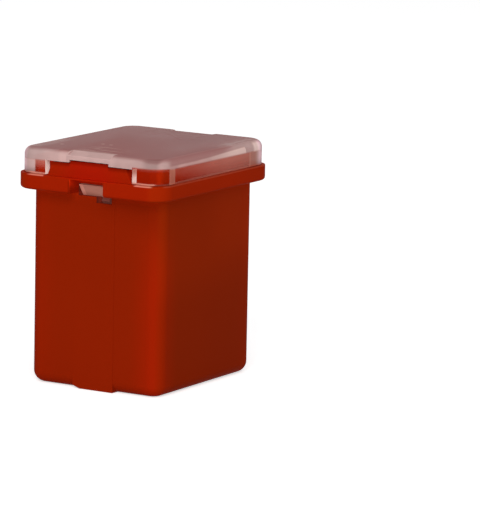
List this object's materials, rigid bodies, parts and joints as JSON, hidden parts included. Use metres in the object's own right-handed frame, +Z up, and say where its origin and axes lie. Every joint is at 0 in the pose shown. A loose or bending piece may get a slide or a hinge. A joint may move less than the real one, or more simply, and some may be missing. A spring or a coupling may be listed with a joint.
{
  "type": "cartridge fuse",
  "caption": "Low-profile plug-in cartridge fuse: flanged red plastic housing with female blade sockets in its foot, a fusible link and a clear clip-on cover.",
  "frame": {"origin": "middle of the flat bottom face", "axes": "+Z up towards the cover, X between the narrow sides with the latches, Y between the wide sides"},
  "size_m": [0.0154, 0.0126, 0.0172],
  "materials": {
    "housing_red": "satin moulded polyamide",
    "cover_clear": "clear moulded plastic, slightly hazy",
    "tinned_copper": "tin plated, bare at the cut edges",
    "tin": "dull pressed tin"
  },
  "bodies": {
    "root": {"housing": "housing_red", "cover": "cover_clear", "fuse_element": "tinned_copper", "tin_pellet": "tin"}
  },
  "joints": []
}
